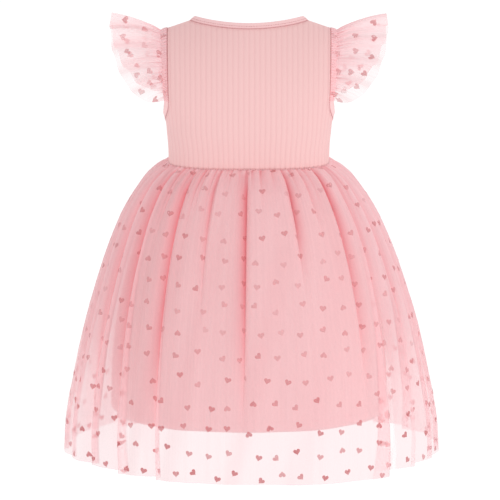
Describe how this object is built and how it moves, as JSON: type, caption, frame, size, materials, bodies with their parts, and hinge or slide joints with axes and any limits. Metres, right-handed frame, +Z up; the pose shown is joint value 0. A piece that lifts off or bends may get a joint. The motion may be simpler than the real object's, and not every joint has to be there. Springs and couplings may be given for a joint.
{
  "type": "toddler party dress",
  "caption": "Toddler's sleeveless party dress, filled out as worn: ribbed bodice, net flutter sleeves and a gathered net skirt over a plain shorter lining skirt.",
  "frame": {"origin": "midway between the middles of the two shoulder seams, where the wearer's shoulders carry the dress", "axes": "+Z up towards the neck, +Y towards the dress's front, +X towards the right-hand side seen from behind"},
  "size_m": [0.4583, 0.366, 0.547],
  "materials": {
    "rib_knit": "ribbed cotton knit, matt",
    "binding": "folded rib knit, matt",
    "net": "sheer net with a small heart motif",
    "lining": "plain woven, soft sheen"
  },
  "bodies": {
    "root": {"bodice_back": "rib_knit", "bodice_front": "rib_knit", "neck_binding": "binding", "armhole_binding_left": "binding", "armhole_binding_right": "binding", "sleeve_flutter_left": "net", "sleeve_flutter_right": "net", "skirt_net_back": "net", "skirt_net_front": "net", "skirt_lining_back": "lining", "skirt_lining_front": "lining"}
  },
  "joints": []
}
